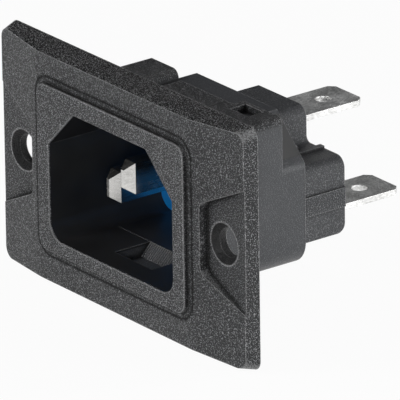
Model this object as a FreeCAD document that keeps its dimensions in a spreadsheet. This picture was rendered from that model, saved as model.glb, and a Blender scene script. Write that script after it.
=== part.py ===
import FreeCAD, Part
import Sketcher
import os

# Panel inlet socket, pin side facing the user, fixed to a panel by two screws.
# Frame: +X to the right when the socket is faced, +Y into the panel, +Z up.
# Origin: midway between the two screw holes, on the rear face of the flange.

os.makedirs("parts", exist_ok=True)
doc = FreeCAD.newDocument("inlet")

SIZES = [
    # flange
    ("end_margin", 4.5), ("flange_h", 31.0), ("flange_t", 3.2), ("flange_corner", 1.5),
    ("flange_draft", 14.0), ("end_t", 1.8), ("slope_start", 15.2), ("slope_blend", 9.0),
    # raised frame around the opening
    ("rim_band", 2.3), ("rim_band_v", 2.15), ("rim_raise", 0.6), ("rim_lift", 0.3), ("rim_corner", 1.6),
    ("rim_edge", 0.25),
    # cavity for the mating connector
    ("cavity_w", 24.6), ("cavity_h", 17.3), ("cavity_cut", 5.1), ("cavity_corner", 2.2),
    ("cavity_floor", 13.15), ("lip", 0.25), ("insulator_t", 1.25),
    # screw holes and the flared pockets they sit in
    ("hole_pitch", 40.0), ("hole_d", 3.7), ("hole_bevel", 0.75), ("pocket_reach", 3.3),
    ("pocket_half", 4.4), ("pocket_flare", 4.2), ("pocket_corner", 1.1), ("pocket_floor", 1.75),
    # shroud behind the flange
    ("side_wall", 1.05), ("deck_wall", 0.7), ("low_wall", 0.85), ("cut_wall", 0.3), ("corner_wall", 1.2),
    ("body_end", 15.6), ("shoulder_round", 1.5), ("block_rise", 1.3), ("left_end", 12.45),
    ("right_end", 12.2),
    ("block_right", 5.85), ("block_left", 7.4), ("block_round", 1.1), ("block_foot", 3.0),
    ("panel_left", 4.35), ("panel_end", 10.5), ("small_edge", 0.7),
    # recess in the top of the right-hand block
    ("window_x", 6.9), ("window_w", 3.5), ("window_y", 9.3), ("window_l", 2.35), ("window_deep", 1.0),
    # latch notch in the cavity's lower wall and the boss below it
    ("notch_w", 7.4), ("notch_y", 0.4), ("notch_end", 5.0), ("notch_deep", 1.55),
    ("boss_w", 10.4), ("boss_end", 6.4), ("boss_wall", 1.2),
    # terminal block behind the shroud, with the earth terminal's tower on it
    ("rear_step", 1.05), ("rear_end", 22.4), ("rear_low", 6.85), ("rear_top", 2.8), ("rear_round", 1.4),
    ("rear_heel", 1.2), ("tower_w", 9.8), ("tower_top", 7.15), ("tower_round", 1.5),
    ("tower_edge", 0.5), ("tower_cove", 0.8),
    ("ridge_x", 7.6), ("ridge_w", 0.8), ("ridge_h", 0.3), ("valley_deep", 0.15), ("rib_low", 3.5),
    ("rib_h", 2.5), ("rib_out", 0.2), ("gusset_x", 6.7), ("gusset_w", 0.6), ("gusset_top", 7.2),
    ("gusset_end", 19.9),
    # pins
    ("pin_t", 2.0), ("pin_h", 4.0), ("pin_pitch", 14.0), ("pin_low", 1.75), ("pin_offset", 4.0),
    ("pin_tip", 1.2), ("earth_lead", 3.0), ("nose_l", 1.25), ("nose_t", 0.5), ("nose_h", 2.3),
    ("pin_end", 16.6), ("shank_d", 1.9), ("head_d", 2.7), ("head_l", 0.5), ("pin_gap", 0.05),
    # how far a cut runs past the face it leaves, and how deep a joined form reaches into its neighbour
    ("clear_of", 1.0), ("sunk", 0.5),
    # blade terminals
    ("tab_w", 6.3), ("tab_t", 0.8), ("tab_end", 32.9), ("tab_cut", 1.0), ("tab_hole", 2.0),
    ("tab_hole_back", 4.1), ("tab_z", 4.75), ("tab_bevel", 0.25), ("shoulder_w", 7.4),
    ("shoulder_l", 1.6), ("shoulder_out", 0.4), ("riser_w", 5.0), ("riser_over", 1.7), ("bend", 0.9),
]
sheet = doc.addObject("Spreadsheet::Sheet", "sizes")
for row, (name, value) in enumerate(SIZES, start=1):
    sheet.set(f"A{row}", name)
    sheet.set(f"B{row}", str(value))
    sheet.setAlias(f"B{row}", name)
scratch = doc.addObject("Spreadsheet::Sheet", "scratch")
doc.recompute()
EPS = 1e-4


def size(name):
    return float(getattr(sheet, name))


def ex(text):
    """Turn size names in a formula into references to the sheet."""
    out, word = [], ""
    for ch in str(text) + " ":
        if ch.isalnum() or ch == "_":
            word += ch
            continue
        if word:
            out.append(f"sizes.{word}" if word[0].isalpha() else word)
            word = ""
        out.append(ch)
    return "".join(out).strip()


def new_body(name):
    return doc.addObject("PartDesign::Body", name)


def plane_of(body, role):
    return next(f for f in body.Origin.OriginFeatures if f.Role == role)


def new_sketch(body, name, role, at="0"):
    """An empty sketch on one of the body's own planes, moved along that plane's normal.

    XZ_Plane looks along +Y from the front: its normal is -Y, so `at` is a distance to the front.
    """
    sk = body.newObject("Sketcher::SketchObject", name)
    sk.AttachmentSupport = [(plane_of(body, role), "")]
    sk.MapMode = "FlatFace"
    sk.setExpression(".AttachmentOffset.Base.z", ex(at))
    return sk


def pin_point(sk, geo, pos, x, y):
    """Tie one point of a sketch to the formulas x and y."""
    for kind, formula in (("DistanceX", x), ("DistanceY", y)):
        i = sk.addConstraint(Sketcher.Constraint(kind, -1, 1, geo, pos, value_of(formula)))
        sk.setExpression(f"Constraints[{i}]", ex(formula))


def value_of(formula):
    """Number that a formula of sizes gives, worked out in a scratch sheet."""
    scratch.set("A1", "=" + ex(formula))
    scratch.recompute()
    return float(scratch.get("A1"))


def add_loop(sk, points):
    """A closed loop of straight lines through points given as pairs of formulas."""
    values = [(value_of(x), value_of(y)) for x, y in points]
    first = sk.GeometryCount
    count = len(points)
    for i, (x, y) in enumerate(values):
        nx, ny = values[(i + 1) % count]
        sk.addGeometry(Part.LineSegment(FreeCAD.Vector(x, y, 0), FreeCAD.Vector(nx, ny, 0)), False)
    for i in range(count):
        sk.addConstraint(Sketcher.Constraint("Coincident", first + i, 2, first + (i + 1) % count, 1))
    for i, (x, y) in enumerate(points):
        pin_point(sk, first + i, 1, x, y)


def add_circle(sk, x, y, d):
    geo = sk.addGeometry(Part.Circle(FreeCAD.Vector(value_of(x), value_of(y), 0),
                                     FreeCAD.Vector(0, 0, 1), value_of(d) / 2), False)
    i = sk.addConstraint(Sketcher.Constraint("Diameter", geo, value_of(d)))
    sk.setExpression(f"Constraints[{i}]", ex(d))
    pin_point(sk, geo, 3, x, y)


def rect(x0, x1, y0, y1):
    return [(x0, y0), (x1, y0), (x1, y1), (x0, y1)]


def settle(body, feature):
    """Make a feature the body's tip and stop if it doesn't compute."""
    body.Tip = feature
    doc.recompute()
    if "Invalid" in feature.State or feature.Shape.isNull():
        raise RuntimeError(f"{feature.Name} fails: {feature.getStatusString()}")
    return feature


def pad(body, name, sk, length, forward=True, both=False, taper=None):
    """Add material; forward follows the sketch's normal."""
    f = body.newObject("PartDesign::Pad", name)
    f.Profile = sk
    f.setExpression("Length", ex(length))
    f.Reversed = not forward
    if both:
        f.SideType = "Symmetric"
    if taper:
        f.setExpression("TaperAngle", ex(taper))
    return settle(body, f)


def pocket(body, name, sk, length, forward=True, both=False):
    """Take material away; forward follows the sketch's normal."""
    before = body.Tip.Shape.Volume
    f = body.newObject("PartDesign::Pocket", name)
    f.Profile = sk
    f.setExpression("Length", ex(length))
    f.Reversed = forward
    if both:
        f.SideType = "Symmetric"
    settle(body, f)
    if not f.Shape.Volume < before - EPS:
        raise RuntimeError(f"{name} takes nothing away")
    return f


def edge_names(shape, test):
    return [f"Edge{i}" for i, e in enumerate(shape.Edges, start=1) if test(e)]


def dress(body, kind, name, amount, test):
    """Fillet or chamfer the edges of the body's tip that pass a test of position."""
    base = body.Tip
    names = edge_names(base.Shape, test)
    if not names:
        raise RuntimeError(f"{name} finds no edge")
    f = body.newObject(f"PartDesign::{kind}", name)
    f.Base = (base, names)
    f.setExpression("Radius" if kind == "Fillet" else "Size", ex(amount))
    return settle(body, f)


def ends(e):
    return [v.Point for v in e.Vertexes]


def along(e, axis):
    """True for a straight edge that runs along one axis."""
    p = ends(e)
    if len(p) != 2 or not isinstance(e.Curve, Part.Line):
        return False
    d = p[1] - p[0]
    return abs(getattr(d, axis)) > d.Length - EPS


def near(value, target, slack=0.02):
    return abs(value - target) < slack


def mid(e):
    return e.valueAt((e.FirstParameter + e.LastParameter) / 2)


# sizes that follow from others: the flange ends a margin past its holes, and the shroud and the rim
# stand a wall or a band outside the cavity
FLANGE_W = "(hole_pitch + 2 * end_margin)"
SEAT_FLOOR = "(cavity_floor + insulator_t)"
BODY_W = "(cavity_w + 2 * side_wall)"
BODY_DECK = "(cavity_h / 2 + deck_wall)"
BODY_LOW = "(cavity_h / 2 + low_wall)"
BODY_CUT = "(cavity_cut + cut_wall)"
BODY_CORNER = "(cavity_corner + corner_wall)"
BLOCK_TOP = f"({BODY_DECK} + block_rise)"
RIM_W = "(cavity_w + 2 * rim_band)"
RIM_H = "(cavity_h + 2 * rim_band_v)"
REAR_W = f"({BODY_W} - 2 * rear_step)"
POCKET_INNER = "(hole_pitch / 2 - pocket_reach)"

# ---------------------------------------------------------------- housing
body = new_body("housing_body")

sk = new_sketch(body, "flange_outline", "XZ_Plane")
add_loop(sk, rect(f"-{FLANGE_W} / 2", f"{FLANGE_W} / 2", "-flange_h / 2", "flange_h / 2"))
pad(body, "flange", sk, "flange_t", taper="-flange_draft")
half_w, half_h = value_of(FLANGE_W) / 2, size("flange_h") / 2
if body.Tip.Shape.BoundBox.XMax > half_w + EPS:
    raise RuntimeError("the flange widens to the front")
dress(body, "Fillet", "flange_corners", "flange_corner",
      lambda e: any(near(abs(p.x), half_w) and near(abs(p.z), half_h) for p in ends(e))
      and any(near(p.y, -size("flange_t")) for p in ends(e)))

# ends of the flange slope back from the flat middle
sk = new_sketch(body, "end_slopes", "XY_Plane")
for side in ("", "-"):
    add_loop(sk, [(f"{side}slope_start", "-flange_t"), (f"{side}({FLANGE_W} / 2)", "-end_t"),
                  (f"{side}({FLANGE_W} / 2 + clear_of)", "-end_t"),
                  (f"{side}({FLANGE_W} / 2 + clear_of)", "-flange_t - clear_of"),
                  (f"{side}slope_start", "-flange_t - clear_of")])
pocket(body, "slopes", sk, "flange_h + 2 * clear_of", both=True)
dress(body, "Fillet", "slope_blends", "slope_blend",
      lambda e: along(e, "z") and near(abs(mid(e).x), size("slope_start"))
      and near(mid(e).y, -size("flange_t")))

# raised rim around the opening
sk = new_sketch(body, "rim_outline", "XZ_Plane")
add_loop(sk, rect(f"-{RIM_W} / 2", f"{RIM_W} / 2", f"-{RIM_H} / 2 + rim_lift", f"{RIM_H} / 2 + rim_lift"))
pad(body, "rim", sk, "flange_t + rim_raise")
front_y = -size("flange_t") - size("rim_raise")
rim_x = value_of(RIM_W) / 2
dress(body, "Fillet", "rim_corners", "rim_corner",
      lambda e: along(e, "y") and near(abs(mid(e).x), rim_x))
dress(body, "Fillet", "rim_edges", "rim_edge", lambda e: near(mid(e).y, front_y))

# shroud that passes through the panel
sk = new_sketch(body, "shroud_outline", "XZ_Plane")
add_loop(sk, [(f"-{BODY_W} / 2", f"-{BODY_LOW}"), (f"{BODY_W} / 2", f"-{BODY_LOW}"),
              (f"{BODY_W} / 2", f"{BODY_DECK} - {BODY_CUT}"), (f"{BODY_W} / 2 - {BODY_CUT}", BODY_DECK),
              (f"-{BODY_W} / 2 + {BODY_CUT}", BODY_DECK), (f"-{BODY_W} / 2", f"{BODY_DECK} - {BODY_CUT}")])
pad(body, "shroud", sk, "body_end", forward=False)

side_x, top_z, low_z = value_of(BODY_W) / 2, value_of(BLOCK_TOP), -value_of(BODY_LOW)
shoulder_z = value_of(f"{BODY_DECK} - {BODY_CUT}")
dress(body, "Fillet", "shroud_shoulders", "shoulder_round",
      lambda e: along(e, "y") and near(abs(mid(e).x), side_x) and near(mid(e).z, shoulder_z))

# filled corners and the panel between them on top of the shroud
sk = new_sketch(body, "left_block_outline", "XZ_Plane")
add_loop(sk, rect(f"-{BODY_W} / 2", "-block_left", "block_foot", BLOCK_TOP))
pad(body, "left_block", sk, "left_end", forward=False)
dress(body, "Fillet", "left_block_round", "block_round",
      lambda e: along(e, "y") and near(mid(e).x, -size("block_left")) and near(mid(e).z, top_z))
sk = new_sketch(body, "right_block_outline", "XZ_Plane")
add_loop(sk, rect("block_right", f"{BODY_W} / 2", "block_foot", BLOCK_TOP))
pad(body, "right_block", sk, "right_end", forward=False)
sk = new_sketch(body, "top_panel_outline", "XZ_Plane")
add_loop(sk, rect("-panel_left", "block_right + sunk", f"{BODY_DECK} - sunk", BLOCK_TOP))
pad(body, "top_panel", sk, "panel_end", forward=False)
dress(body, "Fillet", "block_edges", "small_edge",
      lambda e: along(e, "y") and near(abs(mid(e).x), side_x) and near(mid(e).z, top_z))
sk = new_sketch(body, "window_outline", "XY_Plane", BLOCK_TOP)
add_loop(sk, rect("window_x", "window_x + window_w", "window_y", "window_y + window_l"))
pocket(body, "window", sk, "window_deep", forward=False)

# cavity that takes the mating connector, and the deeper seat of the pin insulator
cavity = [("-cavity_w / 2", "-cavity_h / 2"), ("cavity_w / 2", "-cavity_h / 2"),
          ("cavity_w / 2", "cavity_h / 2 - cavity_cut"), ("cavity_w / 2 - cavity_cut", "cavity_h / 2"),
          ("-cavity_w / 2 + cavity_cut", "cavity_h / 2"), ("-cavity_w / 2", "cavity_h / 2 - cavity_cut")]
sk = new_sketch(body, "cavity_outline", "XZ_Plane", f"-{SEAT_FLOOR}")
add_loop(sk, cavity)
pocket(body, "cavity", sk, f"{SEAT_FLOOR} + flange_t + rim_raise + clear_of")
cav_x, cav_z = size("cavity_w") / 2, size("cavity_h") / 2
dress(body, "Fillet", "cavity_corners", "cavity_corner",
      lambda e: along(e, "y") and near(abs(mid(e).x), cav_x) and near(mid(e).z, -cav_z))
dress(body, "Fillet", "cavity_lip", "lip",
      lambda e: near(mid(e).y, front_y) and abs(mid(e).x) < cav_x + EPS
      and abs(mid(e).z) < cav_z + EPS)

# outside of the shroud, rounded after the cavity so that the wall keeps its thickness
dress(body, "Fillet", "shroud_corners", BODY_CORNER,
      lambda e: along(e, "y") and near(abs(mid(e).x), side_x) and near(mid(e).z, low_z))

# boss under the shroud that closes the latch notch
sk = new_sketch(body, "boss_outline", "XZ_Plane")
add_loop(sk, rect("-boss_w / 2", "boss_w / 2", "-cavity_h / 2 - notch_deep - boss_wall",
                  f"-{BODY_LOW} + sunk"))
pad(body, "boss", sk, "boss_end", forward=False)

# terminal block and the tower of the earth terminal
sk = new_sketch(body, "rear_outline", "XZ_Plane", "-body_end + sunk")
add_loop(sk, rect(f"-{REAR_W} / 2", f"{REAR_W} / 2", "-rear_low", "rear_top"))
pad(body, "rear_block", sk, "rear_end - body_end + sunk", forward=False)
rear_x, rear_y = value_of(REAR_W) / 2, size("rear_end")
dress(body, "Fillet", "rear_rounds", "rear_round",
      lambda e: along(e, "y") and near(abs(mid(e).x), rear_x) and near(mid(e).z, size("rear_top")))
dress(body, "Fillet", "rear_heels", "rear_heel",
      lambda e: along(e, "x") and near(mid(e).y, rear_y) and near(mid(e).z, -size("rear_low")))
sk = new_sketch(body, "valleys", "XZ_Plane", "-body_end")
for side in ("", "-"):
    add_loop(sk, rect(f"{side}(tower_w / 2 - sunk)", f"{side}ridge_x", "rear_top - valley_deep",
                        "rear_top + clear_of"))
pocket(body, "valley", sk, "rear_end - body_end + clear_of", forward=False)
sk = new_sketch(body, "ridge_outlines", "XZ_Plane", "-body_end + sunk")
for side in ("", "-"):
    add_loop(sk, rect(f"{side}ridge_x", f"{side}(ridge_x + ridge_w)", "rear_top - sunk",
                      "rear_top + ridge_h"))
pad(body, "ridges", sk, "rear_end - body_end + sunk", forward=False)
sk = new_sketch(body, "tower_outline", "XZ_Plane", "-body_end + sunk")
add_loop(sk, rect("-tower_w / 2", "tower_w / 2", "rear_top - valley_deep - sunk", "tower_top"))
pad(body, "tower", sk, "rear_end - body_end + sunk", forward=False)
tower_x = size("tower_w") / 2
dress(body, "Fillet", "tower_round_right", "tower_round",
      lambda e: along(e, "y") and near(mid(e).x, tower_x) and near(mid(e).z, size("tower_top")))
dress(body, "Fillet", "tower_round_left", "tower_edge",
      lambda e: along(e, "y") and near(mid(e).x, -tower_x) and near(mid(e).z, size("tower_top")))
dress(body, "Fillet", "tower_coves", "tower_cove",
      lambda e: along(e, "y") and near(abs(mid(e).x), tower_x)
      and near(mid(e).z, size("rear_top") - size("valley_deep")))

# gussets between the shroud's rear wall and the floor of each valley
gusset = [("body_end - sunk", "rear_top - sunk"), ("gusset_end", "rear_top - sunk"),
          ("gusset_end", "rear_top - valley_deep"), ("body_end", "gusset_top"),
          ("body_end - sunk", "gusset_top")]
sk = new_sketch(body, "gusset_outline", "YZ_Plane", "gusset_x")
add_loop(sk, gusset)
pad(body, "gusset_right", sk, "gusset_w")
sk = new_sketch(body, "gusset_outline_left", "YZ_Plane", "-gusset_x")
add_loop(sk, gusset)
pad(body, "gusset_left", sk, "gusset_w", forward=False)

# raised band along each side of the terminal block
sk = new_sketch(body, "side_ribs", "XZ_Plane", "-body_end")
for side in ("", "-"):
    add_loop(sk, rect(f"{side}({REAR_W} / 2 - sunk)", f"{side}({REAR_W} / 2 + rib_out)",
                      "-rib_low", "-rib_low + rib_h"))
pad(body, "ribs", sk, "rear_end - body_end", forward=False)

# latch notch with a sloped end in the cavity's lower wall
sk = new_sketch(body, "notch_outline", "YZ_Plane")
add_loop(sk, [("-notch_y", "-cavity_h / 2 + clear_of"), ("-notch_y", "-cavity_h / 2 - notch_deep"),
              ("notch_end - notch_deep", "-cavity_h / 2 - notch_deep"), ("notch_end", "-cavity_h / 2"),
              ("notch_end", "-cavity_h / 2 + clear_of")])
pocket(body, "notch", sk, "notch_w", both=True)

# flared pockets with the screw holes
sk = new_sketch(body, "pocket_outlines", "XZ_Plane", "pocket_floor")
for side in ("", "-"):
    add_loop(sk, [(f"{side}{POCKET_INNER}", "-pocket_half"), (f"{side}{POCKET_INNER}", "pocket_half"),
                  (f"{side}({FLANGE_W} / 2 + clear_of)", "pocket_half + pocket_flare"),
                  (f"{side}({FLANGE_W} / 2 + clear_of)", "-pocket_half - pocket_flare")])
pocket(body, "screw_pockets", sk, "flange_t")
pocket_x = value_of(POCKET_INNER)
dress(body, "Fillet", "pocket_corners", "pocket_corner",
      lambda e: along(e, "y") and near(abs(mid(e).x), pocket_x)
      and near(abs(mid(e).z), size("pocket_half")))
sk = new_sketch(body, "hole_outlines", "XZ_Plane", "-clear_of")
for side in ("", "-"):
    add_circle(sk, f"{side}hole_pitch / 2", "0", "hole_d")
pocket(body, "screw_holes", sk, "flange_t + 2 * clear_of")
dress(body, "Chamfer", "hole_bevels", "hole_bevel",
      lambda e: isinstance(e.Curve, Part.Circle) and near(e.Curve.Radius, size("hole_d") / 2)
      and near(mid(e).y, -size("pocket_floor")))

# ---------------------------------------------------------------- pins


def make_pin(name, x, z, tip):
    """Rectangular pin with a bevelled nose, and a riveted shank behind it."""
    b = new_body(name + "_body")
    hx, hz = "pin_t / 2", "pin_h / 2"
    s1 = new_sketch(b, name + "_section", "XZ_Plane", f"-({tip} + nose_l)")
    add_loop(s1, rect(f"{x} - {hx}", f"{x} + {hx}", f"{z} - {hz}", f"{z} + {hz}"))
    pad(b, name + "_bar", s1, f"pin_end - {tip} - nose_l", forward=False)
    s2 = new_sketch(b, name + "_nose_root", "XZ_Plane", f"-({tip} + nose_l)")
    add_loop(s2, rect(f"{x} - {hx}", f"{x} + {hx}", f"{z} - {hz}", f"{z} + {hz}"))
    s3 = new_sketch(b, name + "_nose_tip", "XZ_Plane", f"-({tip})")
    add_loop(s3, rect(f"{x} - nose_t / 2", f"{x} + nose_t / 2", f"{z} - nose_h / 2", f"{z} + nose_h / 2"))
    nose = b.newObject("PartDesign::AdditiveLoft", name + "_nose")
    nose.Profile = s2
    nose.Sections = [s3]
    nose.Ruled = True
    settle(b, nose)
    s4 = new_sketch(b, name + "_shank_outline", "XZ_Plane", "-pin_end")
    add_circle(s4, x, z, "shank_d")
    pad(b, name + "_shank", s4, "tab_t", forward=False)
    s5 = new_sketch(b, name + "_head_outline", "XZ_Plane", "-(pin_end + tab_t)")
    add_circle(s5, x, z, "head_d")
    pad(b, name + "_head", s5, "head_l", forward=False)
    return b


LEFT, MIDDLE, RIGHT = "-pin_pitch / 2", "0", "pin_pitch / 2"
LOW, HIGH = "-pin_low", "(pin_offset - pin_low)"
pins = {
    "left_pin": make_pin("left_pin", LEFT, LOW, "pin_tip"),
    "right_pin": make_pin("right_pin", RIGHT, LOW, "pin_tip"),
    "earth_pin": make_pin("earth_pin", MIDDLE, HIGH, "(pin_tip - earth_lead)"),
}

# ---------------------------------------------------------------- blade terminals


def make_tab(name, x, z_pin, z_tab, up):
    """Flat blade that turns up or down to the rivet behind its pin."""
    b = new_body(name + "_body")
    hw, sw, rw = "tab_w / 2", "shoulder_w / 2", "riser_w / 2"
    y_out = "rear_end + shoulder_out"
    y_in = "rear_end + shoulder_out - shoulder_l"
    s1 = new_sketch(b, name + "_plan", "XY_Plane", f"{z_tab} - tab_t / 2")
    add_loop(s1, [
        (f"{x} - {rw}", "pin_end"), (f"{x} + {rw}", "pin_end"), (f"{x} + {rw}", y_in),
        (f"{x} + {sw}", y_in), (f"{x} + {sw}", y_out), (f"{x} + {hw}", y_out),
        (f"{x} + {hw}", "tab_end - tab_cut"), (f"{x} + {hw} - tab_cut", "tab_end"),
        (f"{x} - {hw} + tab_cut", "tab_end"), (f"{x} - {hw}", "tab_end - tab_cut"),
        (f"{x} - {hw}", y_out), (f"{x} - {sw}", y_out), (f"{x} - {sw}", y_in), (f"{x} - {rw}", y_in)])
    pad(b, name + "_blade", s1, "tab_t")
    far = f"{z_pin} + riser_over" if up else f"{z_pin} - riser_over"
    s2 = new_sketch(b, name + "_riser_outline", "XZ_Plane", "-pin_end")
    near_z = f"{z_tab} - tab_t / 2" if up else f"{z_tab} + tab_t / 2"
    add_loop(s2, rect(f"{x} - {rw}", f"{x} + {rw}", near_z, far))
    pad(b, name + "_riser", s2, "tab_t", forward=False)
    outer_z = value_of(near_z)
    dress(b, "Fillet", name + "_bend", "bend",
          lambda e: along(e, "x") and near(mid(e).y, size("pin_end")) and near(mid(e).z, outer_z))
    s3 = new_sketch(b, name + "_rivet_outline", "XZ_Plane", "-pin_end")
    add_circle(s3, x, z_pin, "shank_d")
    pocket(b, name + "_rivet_hole", s3, "tab_t", forward=False)
    s4 = new_sketch(b, name + "_lock_outline", "XY_Plane", f"{z_tab} - tab_t / 2")
    add_circle(s4, x, "tab_end - tab_hole_back", "tab_hole")
    pocket(b, name + "_lock_hole", s4, "tab_t")
    dress(b, "Chamfer", name + "_lead", "tab_bevel",
          lambda e: along(e, "x") and near(mid(e).y, size("tab_end")))
    return b


tabs = {
    "left_tab": make_tab("left_tab", LEFT, LOW, "-tab_z", True),
    "right_tab": make_tab("right_tab", RIGHT, LOW, "-tab_z", True),
    "earth_tab": make_tab("earth_tab", MIDDLE, HIGH, "tab_z", False),
}

# ---------------------------------------------------------------- pin insulator
ins = new_body("insulator_body")
sk = new_sketch(ins, "insulator_outline", "XZ_Plane", "-cavity_floor")
add_loop(sk, cavity)
pad(ins, "insulator_plate", sk, f"{SEAT_FLOOR} - cavity_floor", forward=False)
dress(ins, "Fillet", "insulator_corners", "cavity_corner",
      lambda e: along(e, "y") and near(abs(mid(e).x), cav_x) and near(mid(e).z, -cav_z))
sk = new_sketch(ins, "pin_slots", "XZ_Plane", "-cavity_floor")
for x, z in ((LEFT, LOW), (RIGHT, LOW), (MIDDLE, HIGH)):
    hx, hz = "(pin_t / 2 + pin_gap)", "(pin_h / 2 + pin_gap)"
    add_loop(sk, rect(f"{x} - {hx}", f"{x} + {hx}", f"{z} - {hz}", f"{z} + {hz}"))
pocket(ins, "slots", sk, f"{SEAT_FLOOR} - cavity_floor", forward=False)

# ---------------------------------------------------------------- housing moulded round the contacts
contacts = doc.addObject("Part::MultiFuse", "contacts")
contacts.Shapes = list(pins.values()) + list(tabs.values())
housing = doc.addObject("Part::Cut", "housing_cut")
housing.Base = body
housing.Tool = contacts
doc.recompute()

doc.removeObject(scratch.Name)
doc.recompute()

nodes = {"housing": housing, "pin_insulator": ins}
nodes.update(pins)
nodes.update(tabs)
for obj in doc.Objects:
    if "Invalid" in obj.State or "Error" in obj.State:
        raise RuntimeError(f"{obj.Name} is in state {obj.State}")
for label, obj in nodes.items():
    obj.Label = label
    shape = obj.Shape
    if not shape.isValid() or len(shape.Solids) != 1:
        raise RuntimeError(f"{label} is not one valid solid ({len(shape.Solids)} solids)")
    shape.exportStep(f"parts/{label}.step")
    box = shape.BoundBox
    print(f"{label}: volume {shape.Volume:.1f}, x {box.XMin:.2f}..{box.XMax:.2f}, "
          f"y {box.YMin:.2f}..{box.YMax:.2f}, z {box.ZMin:.2f}..{box.ZMax:.2f}")
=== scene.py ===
import math

import bpy
from mathutils import Matrix, Vector


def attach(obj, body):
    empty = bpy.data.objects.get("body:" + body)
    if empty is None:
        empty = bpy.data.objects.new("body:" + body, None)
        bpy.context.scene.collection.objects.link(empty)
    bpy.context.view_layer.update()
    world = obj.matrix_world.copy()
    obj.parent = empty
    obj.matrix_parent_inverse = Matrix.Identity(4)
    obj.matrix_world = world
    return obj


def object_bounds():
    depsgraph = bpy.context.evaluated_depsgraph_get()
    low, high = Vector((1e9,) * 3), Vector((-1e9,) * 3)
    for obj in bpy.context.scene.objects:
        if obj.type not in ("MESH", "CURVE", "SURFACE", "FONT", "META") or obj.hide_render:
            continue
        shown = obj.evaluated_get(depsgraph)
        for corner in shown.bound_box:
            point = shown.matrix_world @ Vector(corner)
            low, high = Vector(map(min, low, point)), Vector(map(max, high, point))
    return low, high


# Panel inlet socket. Metres, in the frame of the CAD model:
# +X right when the socket is faced, +Y into the panel, +Z up, origin between the screw holes.
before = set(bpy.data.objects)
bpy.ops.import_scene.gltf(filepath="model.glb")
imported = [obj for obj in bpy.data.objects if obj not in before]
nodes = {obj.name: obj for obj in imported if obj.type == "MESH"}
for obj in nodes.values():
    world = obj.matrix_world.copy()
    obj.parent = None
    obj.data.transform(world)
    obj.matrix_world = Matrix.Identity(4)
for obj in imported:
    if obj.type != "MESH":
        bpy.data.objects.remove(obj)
CAD_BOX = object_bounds()
MM = 0.001
scene = bpy.context.scene
low, high = Vector(CAD_BOX[0]), Vector(CAD_BOX[1])


def mm(*lengths):
    """Lengths in millimetres, as metres."""
    return tuple(v * MM for v in lengths)


# ------------------------------------------------------------------ node helpers
RISING, FALLING = (0.0, 1.0), (1.0, 0.0)


class Tree:
    """Short way to write a node tree. A value is a socket or a plain number."""

    def __init__(self, tree):
        self.tree = tree
        self.tree.nodes.clear()

    def link(self, a, b):
        self.tree.links.new(a, b)

    def add(self, kind, sockets=None, **props):
        """New node, with its properties and its input sockets set."""
        n = self.tree.nodes.new(kind)
        for k, v in props.items():
            setattr(n, k, v)
        for k, v in (sockets or {}).items():
            if isinstance(v, bpy.types.NodeSocket):
                self.link(v, n.inputs[k])
            else:
                n.inputs[k].default_value = v
        return n

    def math(self, op, a, b=0.0, clamp=False):
        return self.add("ShaderNodeMath", {0: a, 1: b}, operation=op, use_clamp=clamp).outputs[0]

    def plus(self, a, b):
        return self.math("ADD", a, b)

    def minus(self, a, b):
        return self.math("SUBTRACT", a, b)

    def times(self, a, b):
        return self.math("MULTIPLY", a, b)

    def larger(self, a, b):
        return self.math("MAXIMUM", a, b)

    def less(self, a, b):
        """1 where a is less than b, else 0."""
        return self.math("LESS_THAN", a, b)

    def more(self, a, b):
        """1 where a is more than b, else 0."""
        return self.math("GREATER_THAN", a, b)

    def size(self, a):
        return self.math("ABSOLUTE", a)

    def flip(self, a):
        return self.math("SUBTRACT", 1.0, a)

    def length(self, a, b):
        """Length of the vector (a, b)."""
        squares = self.plus(self.math("POWER", a, 2.0), self.math("POWER", b, 2.0))
        return self.math("SQRT", squares)

    def stripe(self, way, half_width):
        """1 where way is 0, falling to 0 at half_width on both sides."""
        away = self.math("DIVIDE", self.size(way), half_width)
        return self.math("SUBTRACT", 1.0, away, clamp=True)

    def toward(self, value, goal, share):
        """value where share is 0, goal where it is 1."""
        return self.plus(value, self.times(share, self.minus(goal, value)))

    def remap(self, value, span, to=RISING):
        """The span of value carried to the span to, and held at its ends."""
        return self.add("ShaderNodeMapRange", {"Value": value,
                                               "From Min": span[0], "From Max": span[1],
                                               "To Min": to[0], "To Max": to[1]}).outputs[0]

    def split(self, vector):
        """The X, Y and Z of a vector."""
        return self.add("ShaderNodeSeparateXYZ", {0: vector}).outputs

    def noise(self, vector, scale, detail=2.0, rough=0.5):
        """Noise from 0 to 1; scale is in waves per metre."""
        return self.add("ShaderNodeTexNoise", {"Vector": vector, "Scale": scale, "Detail": detail,
                                               "Roughness": rough}).outputs["Fac"]

    def bevel(self, radius, samples):
        """Normal as it would be with the edges rounded."""
        return self.add("ShaderNodeBevel", {"Radius": radius}, samples=samples).outputs[0]

    def mix(self, share, a, b):
        """Colour a where share is 0, b where it is 1."""
        n = self.add("ShaderNodeMix", data_type="RGBA")
        for name, kind, v in (("Factor", "VALUE", share), ("A", "RGBA", a), ("B", "RGBA", b)):
            socket = next(s for s in n.inputs if s.name == name and s.type == kind)
            if isinstance(v, bpy.types.NodeSocket):
                self.link(v, socket)
            else:
                socket.default_value = v if name == "Factor" else (*v, 1.0)
        return next(s for s in n.outputs if s.type == "RGBA")


def material(name):
    m = bpy.data.materials.new(name)
    m.use_nodes = True
    return m, Tree(m.node_tree)


def finish_material(t, shader):
    out = t.add("ShaderNodeOutputMaterial")
    t.link(shader, out.inputs["Surface"])


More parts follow.
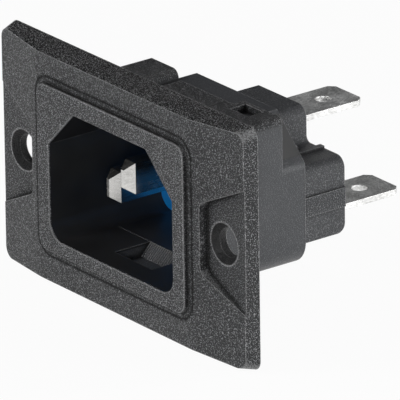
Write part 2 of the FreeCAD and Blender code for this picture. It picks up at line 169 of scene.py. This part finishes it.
# ------------------------------------------------------------------ black plastic: values
# base colours
PLASTIC_SATIN = (0.038, 0.0405, 0.0455)  # body
PLASTIC_REAR = (0.032, 0.034, 0.038)  # terminal block behind the body
PLASTIC_INNER_SHADE = (0.007, 0.007, 0.0075)  # walls of the cavity, painted dark as shade
PLASTIC_RAMP_LIT = (0.070, 0.070, 0.070)  # slopes in the mouth: its lower lip, top of the notch; painted lighter, as lit
PLASTIC_BORE_SHADE = (0.012, 0.0122, 0.0128)  # bores and bevels of the screw holes, painted dark as shade
PLASTIC_PIT = (0.016, 0.0168, 0.0182)  # low parts of the grain
PLASTIC_PEAK = (0.47, 0.48, 0.495)  # high parts of the grain
PLASTIC_PIT_LONG_SHADE = (0.0015, 0.0016, 0.0018)  # the same two on the long top and bottom faces, darker there as painted shade
PLASTIC_PEAK_LONG_SHADE = (0.40, 0.40, 0.41)
PLASTIC_EDGE_HIGHLIGHT = (0.62, 0.62, 0.63)  # painted highlight on edges, chamfers and brims
PLASTIC_CORNER_HIGHLIGHT = (0.30, 0.305, 0.31)  # painted highlight on the rounded corners
# painted shade, for crevices, the rim's foot and the groove
PLASTIC_PAINTED_SHADE = (0.0015, 0.0015, 0.0016)
PLASTIC_IOR = 1.45

# roughness; a pair is for the pits and the peaks of the grain
SATIN_ROUGH = 0.40
INNER_ROUGH = 0.38
EDGE_ROUGH = 0.20
SMOOTH_ROUGH = 0.30
CREVICE_ROUGH = 0.9
FRONT_ROUGH = (0.50, 0.22)
LONG_FACE_ROUGH = (0.25, 0.50)

# where the plastic is grained, and how strongly; a span is where it comes in or goes out
FLANGE_BACK = mm(0.05, 0.35)
TOPS_FROM, TOPS_GRAIN = mm(9.6, 9.9), 0.85
REAR_FROM, REAR_GRAIN = mm(15.2, 15.9), 0.60
BODY_GRAIN = 0.16
GRAINED_SPAN = (BODY_GRAIN, 1.0)
LONG_FACE = (0.4, 0.9)

# the grain itself: coarse and fine noise, and the heights that count as peaks
GRAIN_SCALE, GRAIN_DETAIL, GRAIN_ROUGH, GRAIN_SHARE = 6800.0, 1.0, 0.4, 0.75
FINE_SCALE, FINE_DETAIL, FINE_ROUGH, FINE_SHARE = 2.1 * GRAIN_SCALE, 1.0, 0.5, 0.25
GRAIN_DEPTH = 0.45 * MM
PEAKS = (0.55, 0.62)
PEAK_TONE = 0.66
RIM_FRONT, RIM_GRAIN = mm(-3.75, -3.4), (1.7, 1.15)
CLOUD_SCALE, CLOUD_TONE = 160.0, 0.06

# edges, with painted highlights, and crevices, with painted shade
EDGE_ROUND, EDGE_HIGHLIGHT_REACH, CREVICE_REACH = mm(0.10, 0.20, 0.9)
ROUND_SAMPLES, EDGE_HIGHLIGHT_SAMPLES, CREVICE_SAMPLES = 6, 8, 8
EDGE_BEND = (0.99, 0.93)
CREVICE_OPEN = (0.55, 0.96)
CREVICE_SHADE_TONE = 0.92
CHAMFER_FRONT, CHAMFER_WALL = (-0.97, -0.90), (-0.45, -0.30)
CHAMFER_HIGHLIGHT = 0.35
HIGHLIGHT_HEIGHT, HIGHLIGHT_SHARE = (0.46, 0.54), (0.45, 1.0)
HIGHLIGHT_GRAINED, HIGHLIGHT_PLACE = (BODY_GRAIN, 0.9), (0.35, 0.8)
HIGHLIGHT_TONE = 0.9
# where the painted highlights on corners and brims lie on the grain
HIGHLIGHT_SPOT_HEIGHT, CORNER_HIGHLIGHT_SHARE = (0.44, 0.54), (0.15, 1.0)
CORNER_TURN = (0.2, 0.45)
CORNER_CREVICE = 0.8

# the screw holes: distance from the middle, radius of the smooth part, radius of the brim
HOLE_X, HOLE_R, BRIM_R, BRIM_LINE = mm(20.0, 2.6, 2.7, 0.16)
BRIM_SHARE = (0.2, 0.8)

# the mouth of the cavity, and the turn from which a face in it counts as a slope
MOUTH_X, MOUTH_Z, MOUTH_Y = mm(12.5, 8.95, -3.5)
SLOPE_TURN = 0.3

# the lettering field on top, bounded by a groove painted only as shade
FIELD_X, FIELD_Y, FIELD_HALF_X, FIELD_HALF_Y, FIELD_LINE = mm(-0.1, 6.0, 4.85, 4.8, 0.16)

# the raised rim round the mouth, found as the foremost face of the housing
FRONT_DEPTH = 0.05 * MM
front = [v.co for v in nodes["housing"].data.vertices if v.co.y < low.y + FRONT_DEPTH]
RIM_HALF_X = max(abs(p.x) for p in front)
RIM_LOW, RIM_TOP = min(p.z for p in front), max(p.z for p in front)
RIM_MID_Z, RIM_HALF_Z = 0.5 * (RIM_LOW + RIM_TOP), 0.5 * (RIM_TOP - RIM_LOW)
# the rim's corner radius, and the gap, width and height limit of the painted shadow line round its
# foot
RIM_CORNER, RIM_GAP, RIM_LINE, RIM_FOOT_Y = mm(1.6, 0.95, 0.34, -2.9)


# ------------------------------------------------------------------ black plastic
def cavity_mask(t, xyz, wide_x, wide_z):
    """1 in the cavity, from just behind the rim."""
    across = t.times(t.less(wide_x, MOUTH_X), t.less(wide_z, MOUTH_Z))
    return t.times(across, t.more(xyz["Y"], MOUTH_Y))


def field_groove_shade(t, xyz):
    """1 in the groove round the lettering field, on every height; the groove is painted shade, not
    in the mesh.
    """
    side = t.minus(t.size(t.minus(xyz["X"], FIELD_X)), FIELD_HALF_X)
    end = t.minus(t.size(t.minus(xyz["Y"], FIELD_Y)), FIELD_HALF_Y)
    return t.remap(t.size(t.larger(side, end)), (0.5 * FIELD_LINE, FIELD_LINE), FALLING)


def rim_foot_shadow(t, xyz, wide_x):
    """1 on the painted shadow line round the foot of the raised rim."""
    out_x = t.minus(wide_x, RIM_HALF_X - RIM_CORNER)
    out_z = t.minus(t.size(t.minus(xyz["Z"], RIM_MID_Z)), RIM_HALF_Z - RIM_CORNER)
    from_rim = t.minus(t.length(t.larger(out_x, 0.0), t.larger(out_z, 0.0)), RIM_CORNER)
    line = t.stripe(t.minus(from_rim, RIM_GAP), RIM_LINE)
    return t.times(line, t.less(xyz["Y"], RIM_FOOT_Y))


def corner_highlight_mask(t, rounded, flange, height):
    """1 where a highlight is painted on the rounded corners of the flange and the rim, all alike.
    """
    turn = t.split(rounded)
    sideways = t.remap(t.size(turn["X"]), CORNER_TURN)
    upright = t.remap(t.size(turn["Z"]), CORNER_TURN)
    corner = t.times(sideways, upright)
    return t.times(t.times(corner, flange), t.remap(height, HIGHLIGHT_SPOT_HEIGHT, CORNER_HIGHLIGHT_SHARE))


def black_plastic():
    """Moulded thermoplastic: spark-eroded grain on the flange and block tops, satin elsewhere;
    painted highlights on edges and corners, painted light on the slopes in the mouth, painted shade
    in crevices, the cavity, the holes and on the long top and bottom faces.
    """
    m, t = material("black_moulding")
    pos = t.add("ShaderNodeTexCoord").outputs["Object"]
    xyz = t.split(pos)
    geo = t.add("ShaderNodeNewGeometry").outputs
    facing = t.split(geo["True Normal"])
    wide_x, wide_z = t.size(xyz["X"]), t.size(xyz["Z"])

    # where the mould is grained: the flange, the tops of the blocks, and fainter on the rear block
    flange = t.remap(xyz["Y"], FLANGE_BACK, FALLING)
    tops = t.remap(xyz["Z"], TOPS_FROM, (0.0, TOPS_GRAIN))
    rear = t.remap(xyz["Y"], REAR_FROM, (0.0, REAR_GRAIN))
    inside = cavity_mask(t, xyz, wide_x, wide_z)
    outside = t.larger(t.flip(inside), rear)
    grained = t.times(t.larger(t.larger(flange, tops), t.larger(rear, BODY_GRAIN)), outside)
    # the long top and bottom faces have darker pits and peaks, painted shade over the grain
    long_face = t.remap(t.size(facing["Z"]), LONG_FACE)

    # the grain, stronger on the rim
    grain = t.noise(pos, GRAIN_SCALE, GRAIN_DETAIL, GRAIN_ROUGH)
    fine = t.noise(pos, FINE_SCALE, FINE_DETAIL, FINE_ROUGH)
    height = t.plus(t.times(grain, GRAIN_SHARE), t.times(fine, FINE_SHARE))
    spots = t.remap(height, PEAKS)
    peaks = t.times(t.times(spots, grained), t.remap(xyz["Y"], RIM_FRONT, RIM_GRAIN))
    tone = t.plus(t.times(t.noise(pos, CLOUD_SCALE), CLOUD_TONE), t.times(peaks, PEAK_TONE))

    # edges, where a highlight is painted: the smooth normal leaves the face's own normal
    edge_normal = t.bevel(EDGE_HIGHLIGHT_REACH, EDGE_HIGHLIGHT_SAMPLES)
    bend = t.add("ShaderNodeVectorMath", {0: edge_normal, 1: geo["Normal"]},
                 operation="DOT_PRODUCT").outputs["Value"]
    # painted shade in crevices, found by ambient occlusion
    near = t.add("ShaderNodeAmbientOcclusion", {"Distance": CREVICE_REACH}, samples=CREVICE_SAMPLES,
                 only_local=True).outputs["AO"]
    crevice_shade = t.remap(near, CREVICE_OPEN, FALLING)
    edge = t.times(t.remap(bend, EDGE_BEND), t.flip(crevice_shade))
    crevice_shade = t.larger(crevice_shade, rim_foot_shadow(t, xyz, wide_x))

    # the screw holes: bores and bevels are smooth and painted dark as shade, and a painted
    # highlight ring lies round them
    from_axis = t.length(t.minus(wide_x, HOLE_X), xyz["Z"])
    bore = t.times(t.less(from_axis, HOLE_R), flange)
    # a painted highlight ring round each hole, on the grain's high spots
    brim = t.stripe(t.minus(from_axis, BRIM_R), BRIM_LINE)
    brim = t.times(t.times(brim, t.remap(height, HIGHLIGHT_SPOT_HEIGHT, BRIM_SHARE)), flange)

    # the fillets and chamfers of the flange, whose normals lie between its face and its walls; a
    # highlight is painted on them
    turned = t.split(geo["Normal"])["Y"]
    chamfer = t.times(t.remap(turned, CHAMFER_FRONT), t.remap(turned, CHAMFER_WALL, FALLING))
    chamfer = t.times(t.times(chamfer, flange), t.flip(bore))

    # ground colour by place, with painted shade on the cavity walls and painted light on its
    # slopes, then the grain
    # faces in the cavity turned forward and up are painted lighter, as lit
    slope = t.times(t.less(facing["Y"], -SLOPE_TURN), t.more(facing["Z"], SLOPE_TURN))
    satin = t.mix(inside, PLASTIC_SATIN, t.mix(slope, PLASTIC_INNER_SHADE, PLASTIC_RAMP_LIT))
    satin = t.mix(t.remap(xyz["Y"], REAR_FROM), satin, PLASTIC_REAR)
    pit = t.mix(long_face, PLASTIC_PIT, PLASTIC_PIT_LONG_SHADE)
    peak = t.mix(long_face, PLASTIC_PEAK, PLASTIC_PEAK_LONG_SHADE)
    ground = t.mix(t.times(t.larger(flange, tops), outside), satin, pit)
    body = t.mix(tone, ground, peak)

    # painted shade over it: in the groove, the crevices and the bores
    groove = t.times(field_groove_shade(t, xyz), t.times(tops, long_face))
    body = t.mix(groove, body, PLASTIC_PAINTED_SHADE)
    body = t.mix(t.times(crevice_shade, CREVICE_SHADE_TONE), body, PLASTIC_PAINTED_SHADE)
    body = t.mix(bore, body, PLASTIC_BORE_SHADE)

    # painted highlights on edges, brims and chamfers, and on the corners
    painted_highlight = t.times(edge, t.remap(height, HIGHLIGHT_HEIGHT, HIGHLIGHT_SHARE))
    painted_highlight = t.times(painted_highlight, t.remap(grained, HIGHLIGHT_GRAINED, HIGHLIGHT_PLACE))
    painted_highlight = t.times(t.larger(painted_highlight, brim), HIGHLIGHT_TONE)
    painted_highlight = t.larger(painted_highlight, t.times(chamfer, CHAMFER_HIGHLIGHT))
    # painted highlight on the rounded corners, kept out of the cavity, the crevices and the bores
    corner_highlight = t.times(corner_highlight_mask(t, edge_normal, flange, height), t.flip(inside))
    corner_highlight = t.times(corner_highlight, t.flip(t.times(crevice_shade, CORNER_CREVICE)))
    corner_highlight = t.times(corner_highlight, t.flip(bore))
    colour = t.mix(corner_highlight, t.mix(painted_highlight, body, PLASTIC_EDGE_HIGHLIGHT), PLASTIC_CORNER_HIGHLIGHT)

    # roughness in the same order
    grain_rough = t.plus(t.times(t.remap(spots, RISING, FRONT_ROUGH), t.flip(long_face)),
                         t.times(t.remap(spots, RISING, LONG_FACE_ROUGH), long_face))
    rough = t.toward(SATIN_ROUGH, grain_rough, t.remap(grained, GRAINED_SPAN))
    rough = t.toward(rough, CREVICE_ROUGH, crevice_shade)
    rough = t.plus(rough, t.times(inside, INNER_ROUGH - SATIN_ROUGH))
    rough = t.toward(rough, EDGE_ROUGH, t.larger(edge, chamfer))
    rough = t.toward(rough, SMOOTH_ROUGH, t.larger(corner_highlight, bore))

    bump = t.add("ShaderNodeBump", {"Height": t.times(height, grained), "Strength": 1.0,
                                    "Distance": GRAIN_DEPTH,
                                    "Normal": t.bevel(EDGE_ROUND, ROUND_SAMPLES)})
    bsdf = t.add("ShaderNodeBsdfPrincipled", {"Base Color": colour, "Roughness": rough,
                                              "IOR": PLASTIC_IOR, "Normal": bump.outputs[0]})
    finish_material(t, bsdf.outputs[0])
    return m


# ------------------------------------------------------------------ blue plastic
BLUE_DARK, BLUE_LIGHT = (0.006, 0.30, 1.0), (0.02, 0.40, 1.0)
BLUE_IOR = 1.5
BLUE_ROUGH = (0.28, 0.42)
BLUE_CLOUD_SCALE, BLUE_FINE_SCALE = 260.0, 3500.0
BLUE_FINE = (0.3, 0.7)
BLUE_BUMP, BLUE_DEPTH = 0.2, 0.02 * MM


def blue_plastic():
    """Smooth moulded plastic, with a faint cloudy tone."""
    m, t = material("blue_insulator")
    pos = t.add("ShaderNodeTexCoord").outputs["Object"]
    fine = t.noise(pos, BLUE_FINE_SCALE)
    colour = t.mix(t.noise(pos, BLUE_CLOUD_SCALE), BLUE_DARK, BLUE_LIGHT)
    bump = t.add("ShaderNodeBump", {"Height": fine, "Strength": BLUE_BUMP, "Distance": BLUE_DEPTH})
    bsdf = t.add("ShaderNodeBsdfPrincipled", {"Base Color": colour, "IOR": BLUE_IOR,
                                              "Roughness": t.remap(fine, BLUE_FINE, BLUE_ROUGH),
                                              "Normal": bump.outputs[0]})
    finish_material(t, bsdf.outputs[0])
    return m


# ------------------------------------------------------------------ plated metal
MARK_SCALE, MARK_DETAIL, MARK_ROUGH = 4200.0, 3.0, 0.6
METAL_CLOUD_SCALE, METAL_CLOUD_DETAIL = 420.0, 3.0
PITTED_SCALE, PITTED_DETAIL, PITTED_MARKS = 4600.0, 1.0, 0.3
METAL_TONE, METAL_GLOSS = (0.35, 0.65), (0.3, 0.7)
FLAT_FACE, FLAT_SHARE = (0.5, 0.9), (0.15, 1.0)
METAL_BUMP = 0.6


def plated(name, dark, light, rough, stretch, depth):
    """Plated metal with faint rolling marks along Y, and pitted on its flat faces."""
    m, t = material(name)
    pos = t.add("ShaderNodeTexCoord").outputs["Object"]
    along = t.add("ShaderNodeMapping", {"Vector": pos, "Scale": stretch}).outputs[0]
    marks = t.noise(along, MARK_SCALE, MARK_DETAIL, MARK_ROUGH)
    cloud = t.noise(pos, METAL_CLOUD_SCALE, METAL_CLOUD_DETAIL)
    mixed = t.plus(t.times(marks, 0.5), t.times(cloud, 0.5))
    colour = t.mix(t.remap(mixed, METAL_TONE), dark, light)
    facing = t.split(t.add("ShaderNodeNewGeometry").outputs["True Normal"])
    flat = t.remap(t.size(facing["Z"]), FLAT_FACE, FLAT_SHARE)
    pitted = t.plus(t.times(marks, PITTED_MARKS), t.noise(pos, PITTED_SCALE, PITTED_DETAIL))
    bump = t.add("ShaderNodeBump", {"Height": t.times(pitted, flat), "Strength": METAL_BUMP,
                                    "Distance": depth})
    bsdf = t.add("ShaderNodeBsdfPrincipled", {"Base Color": colour, "Metallic": 1.0,
                                              "Roughness": t.remap(mixed, METAL_GLOSS, rough),
                                              "Normal": bump.outputs[0]})
    finish_material(t, bsdf.outputs[0])
    return m


BLACK = black_plastic()
BLUE = blue_plastic()
PIN = plated("pin_plate", dark=(0.50, 0.495, 0.48), light=(0.74, 0.73, 0.71),
             rough=(0.16, 0.30), stretch=(1.0, 0.08, 1.0), depth=0.03 * MM)
TAB = plated("tab_plate", dark=(0.52, 0.52, 0.51), light=(1.0, 1.0, 0.99),
             rough=(0.38, 0.56), stretch=(1.0, 0.45, 1.0), depth=0.32 * MM)

# ------------------------------------------------------------------ dressing of the CAD nodes
WELD_REACH = 1e-6
BREAK_SEGMENTS, BREAK_ANGLE = 2, math.radians(28.0)
HOUSING_BREAK, INSULATOR_BREAK, PIN_BREAK, TAB_BREAK = mm(0.10, 0.05, 0.06, 0.05)


def dress(node, mat, width):
    """New material and softly broken edges for a CAD node."""
    o = nodes[node]
    for place in o.material_slots:
        place.material = mat
    weld = o.modifiers.new("weld", "WELD")
    weld.merge_threshold = WELD_REACH
    b = o.modifiers.new("edges", "BEVEL")
    b.width = width
    b.segments = BREAK_SEGMENTS
    b.limit_method = "ANGLE"
    b.angle_limit = BREAK_ANGLE
    b.harden_normals = True
    b.use_clamp_overlap = True
    w = o.modifiers.new("normals", "WEIGHTED_NORMAL")
    w.keep_sharp = True


dress("housing", BLACK, HOUSING_BREAK)
dress("pin_insulator", BLUE, INSULATOR_BREAK)
for n in ("left_pin", "right_pin", "earth_pin"):
    dress(n, PIN, PIN_BREAK)
for n in ("left_tab", "right_tab", "earth_tab"):
    dress(n, TAB, TAB_BREAK)

# ------------------------------------------------------------------ ribs in the latch notch
RIB_PITCH, RIB_WIDE, RIB_TALL, RIB_ROUND = mm(0.38, 0.20, 0.10, 0.02)
RIB_SEGMENTS = 2
# a rib across: share of its width from its middle, share of its height above the slope
RIB_PROFILE = ((-0.5, -0.2), (-0.25, 1.0), (0.25, 1.0), (0.5, -0.2))
RAMP_TURN = 0.5
RAMP_REACH_X, RAMP_TOP_Z = 0.3 * high.x, 0.5 * low.z


def ramp_faces(mesh):
    """The sloped end of the latch notch: low, near the middle, and facing forward and up.

    The rounded lower lip of the mouth passes too, so the ribs run as wide as the lip.
    """
    return [p for p in mesh.polygons if p.normal.y < -RAMP_TURN and p.normal.z > RAMP_TURN
            and abs(p.center.x) < RAMP_REACH_X and p.center.z < RAMP_TOP_Z]


def ramp_ribs():
    """Fine ribs that run down the sloped end of the latch notch, side by side."""
    mesh = nodes["housing"].data
    slopes = ramp_faces(mesh)
    if not slopes:
        return
    pts = [mesh.vertices[i].co for p in slopes for i in p.vertices]
    normal = slopes[0].normal.copy()
    x0, x1 = min(p.x for p in pts), max(p.x for p in pts)
    top = max(pts, key=lambda p: p.z)
    foot = min(pts, key=lambda p: p.z)
    count = int((x1 - x0) / RIB_PITCH)
    corners = len(RIB_PROFILE)
    verts, faces = [], []
    for i in range(count):
        x = 0.5 * (x0 + x1) + (i - 0.5 * (count - 1)) * RIB_PITCH
        k = len(verts)
        for end in (top, foot):
            for dx, lift in RIB_PROFILE:
                base = Vector((x + dx * RIB_WIDE, end.y, end.z))
                verts.append(base + normal * lift * RIB_TALL)
        for a in range(corners):
            b = (a + 1) % corners
            faces.append((k + a, k + b, k + corners + b, k + corners + a))
        faces.append((k + 3, k + 2, k + 1, k))
        faces.append((k + 4, k + 5, k + 6, k + 7))
    rib_mesh = bpy.data.meshes.new("ramp_ribs")
    rib_mesh.from_pydata(verts, [], faces)
    rib_mesh.materials.append(BLACK)
    o = bpy.data.objects.new("ramp_ribs", rib_mesh)
    scene.collection.objects.link(o)
    b = o.modifiers.new("edges", "BEVEL")
    b.width = RIB_ROUND
    b.segments = RIB_SEGMENTS
    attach(o, "root")


ramp_ribs()

# ------------------------------------------------------------------ floor and world
WHITE = (1.0, 1.0, 1.0, 1.0)
FLOOR_PAINT = (0.85, 0.85, 0.85, 1.0)
WORLD_TINT = (0.95, 0.97, 1.0, 1.0)
FLOOR_HALF = 1.5
FLOOR_DROP = 0.02 * MM
FLOOR_SEEN = 0.95
WORLD_LIGHT, WORLD_MIRRORED = 0.01, 0.09

floor_mesh = bpy.data.meshes.new("floor")
floor_mesh.from_pydata([(-FLOOR_HALF, -FLOOR_HALF, 0), (FLOOR_HALF, -FLOOR_HALF, 0),
                        (FLOOR_HALF, FLOOR_HALF, 0), (-FLOOR_HALF, FLOOR_HALF, 0)],
                       [], [(0, 1, 2, 3)])
floor = bpy.data.objects.new("floor", floor_mesh)
floor.location.z = low[2] - FLOOR_DROP
scene.collection.objects.link(floor)

# the floor looks white, and still takes the object's shadow
m, t = material("floor_paint")
path = t.add("ShaderNodeLightPath").outputs
seen = t.larger(t.times(path["Is Camera Ray"], FLOOR_SEEN), path["Is Glossy Ray"])
diffuse = t.add("ShaderNodeBsdfDiffuse", {"Color": FLOOR_PAINT})
glow = t.add("ShaderNodeEmission", {"Color": WHITE, "Strength": 1.0})
mixer = t.add("ShaderNodeMixShader", {0: seen, 1: diffuse.outputs[0], 2: glow.outputs[0]})
finish_material(t, mixer.outputs[0])
floor_mesh.materials.append(m)

# the world is white where it is seen, and dim as light and in reflections
world = bpy.data.worlds.new("studio")
scene.world = world
world.use_nodes = True
t = Tree(world.node_tree)
path = t.add("ShaderNodeLightPath").outputs
level = t.remap(path["Is Glossy Ray"], RISING, (WORLD_LIGHT, WORLD_MIRRORED))
dim = t.add("ShaderNodeBackground", {"Color": WORLD_TINT, "Strength": level})
white = t.add("ShaderNodeBackground", {"Color": WHITE, "Strength": 1.0})
mixer = t.add("ShaderNodeMixShader", {0: path["Is Camera Ray"], 1: dim.outputs[0],
                                      2: white.outputs[0]})
out = t.add("ShaderNodeOutputWorld")
t.link(mixer.outputs[0], out.inputs["Surface"])

# ------------------------------------------------------------------ lamps
CENTRE = Vector((0.0, 10.0, 0.0)) * MM
# name, direction from the middle, distance and size in metres, power in watts
LAMPS = (
    ("key", (-0.5, -1.0, 0.85), 0.55, 0.16, 0.92),
    ("front", (0.05, -1.0, 0.3), 0.60, 0.30, 0.46),
    ("fill", (0.8, -0.6, 0.3), 0.60, 0.10, 0.85),
    ("glint", (0.22, -0.6, 0.79), 0.55, 0.05, 0.12),
    ("corner", (0.3, 0.56, 0.75), 0.55, 0.05, 0.30),
    ("side", (1.0, 0.8, 0.2), 0.55, 0.30, 2.1),
    ("back", (-0.5, 1.0, 0.9), 0.60, 0.30, 0.06),
)


def lamp(name, direction, distance, size, power):
    """Soft square lamp that looks at the middle of the object."""
    data = bpy.data.lights.new(name, "AREA")
    data.shape = "SQUARE"
    data.size = size
    data.energy = power
    o = bpy.data.objects.new(name, data)
    o.location = CENTRE + Vector(direction).normalized() * distance
    o.rotation_euler = (CENTRE - o.location).to_track_quat("-Z", "Y").to_euler()
    scene.collection.objects.link(o)


for row in LAMPS:
    lamp(*row)

# ------------------------------------------------------------------ camera
SENSOR_WIDTH, LENS = 36.0, 874.5
CLIP_START, CLIP_END = 0.1, 10.0
CAMERA_AT = Vector((872.32, -648.21, 425.27)) * MM
CAMERA_RIGHT = Vector((0.60647, 0.79499, -0.01381))
CAMERA_UP = Vector((-0.28257, 0.23173, 0.93084))
CAMERA_BACK = Vector((0.74321, -0.56062, 0.36518))

cam_data = bpy.data.cameras.new("camera")
cam_data.sensor_width = SENSOR_WIDTH
cam_data.lens = LENS
cam_data.clip_start = CLIP_START
cam_data.clip_end = CLIP_END
cam = bpy.data.objects.new("camera", cam_data)
turn = Matrix((CAMERA_RIGHT, CAMERA_UP, CAMERA_BACK)).transposed().to_4x4()
cam.matrix_world = Matrix.Translation(CAMERA_AT) @ turn
scene.collection.objects.link(cam)
scene.camera = cam
scene.view_settings.view_transform = "Standard"
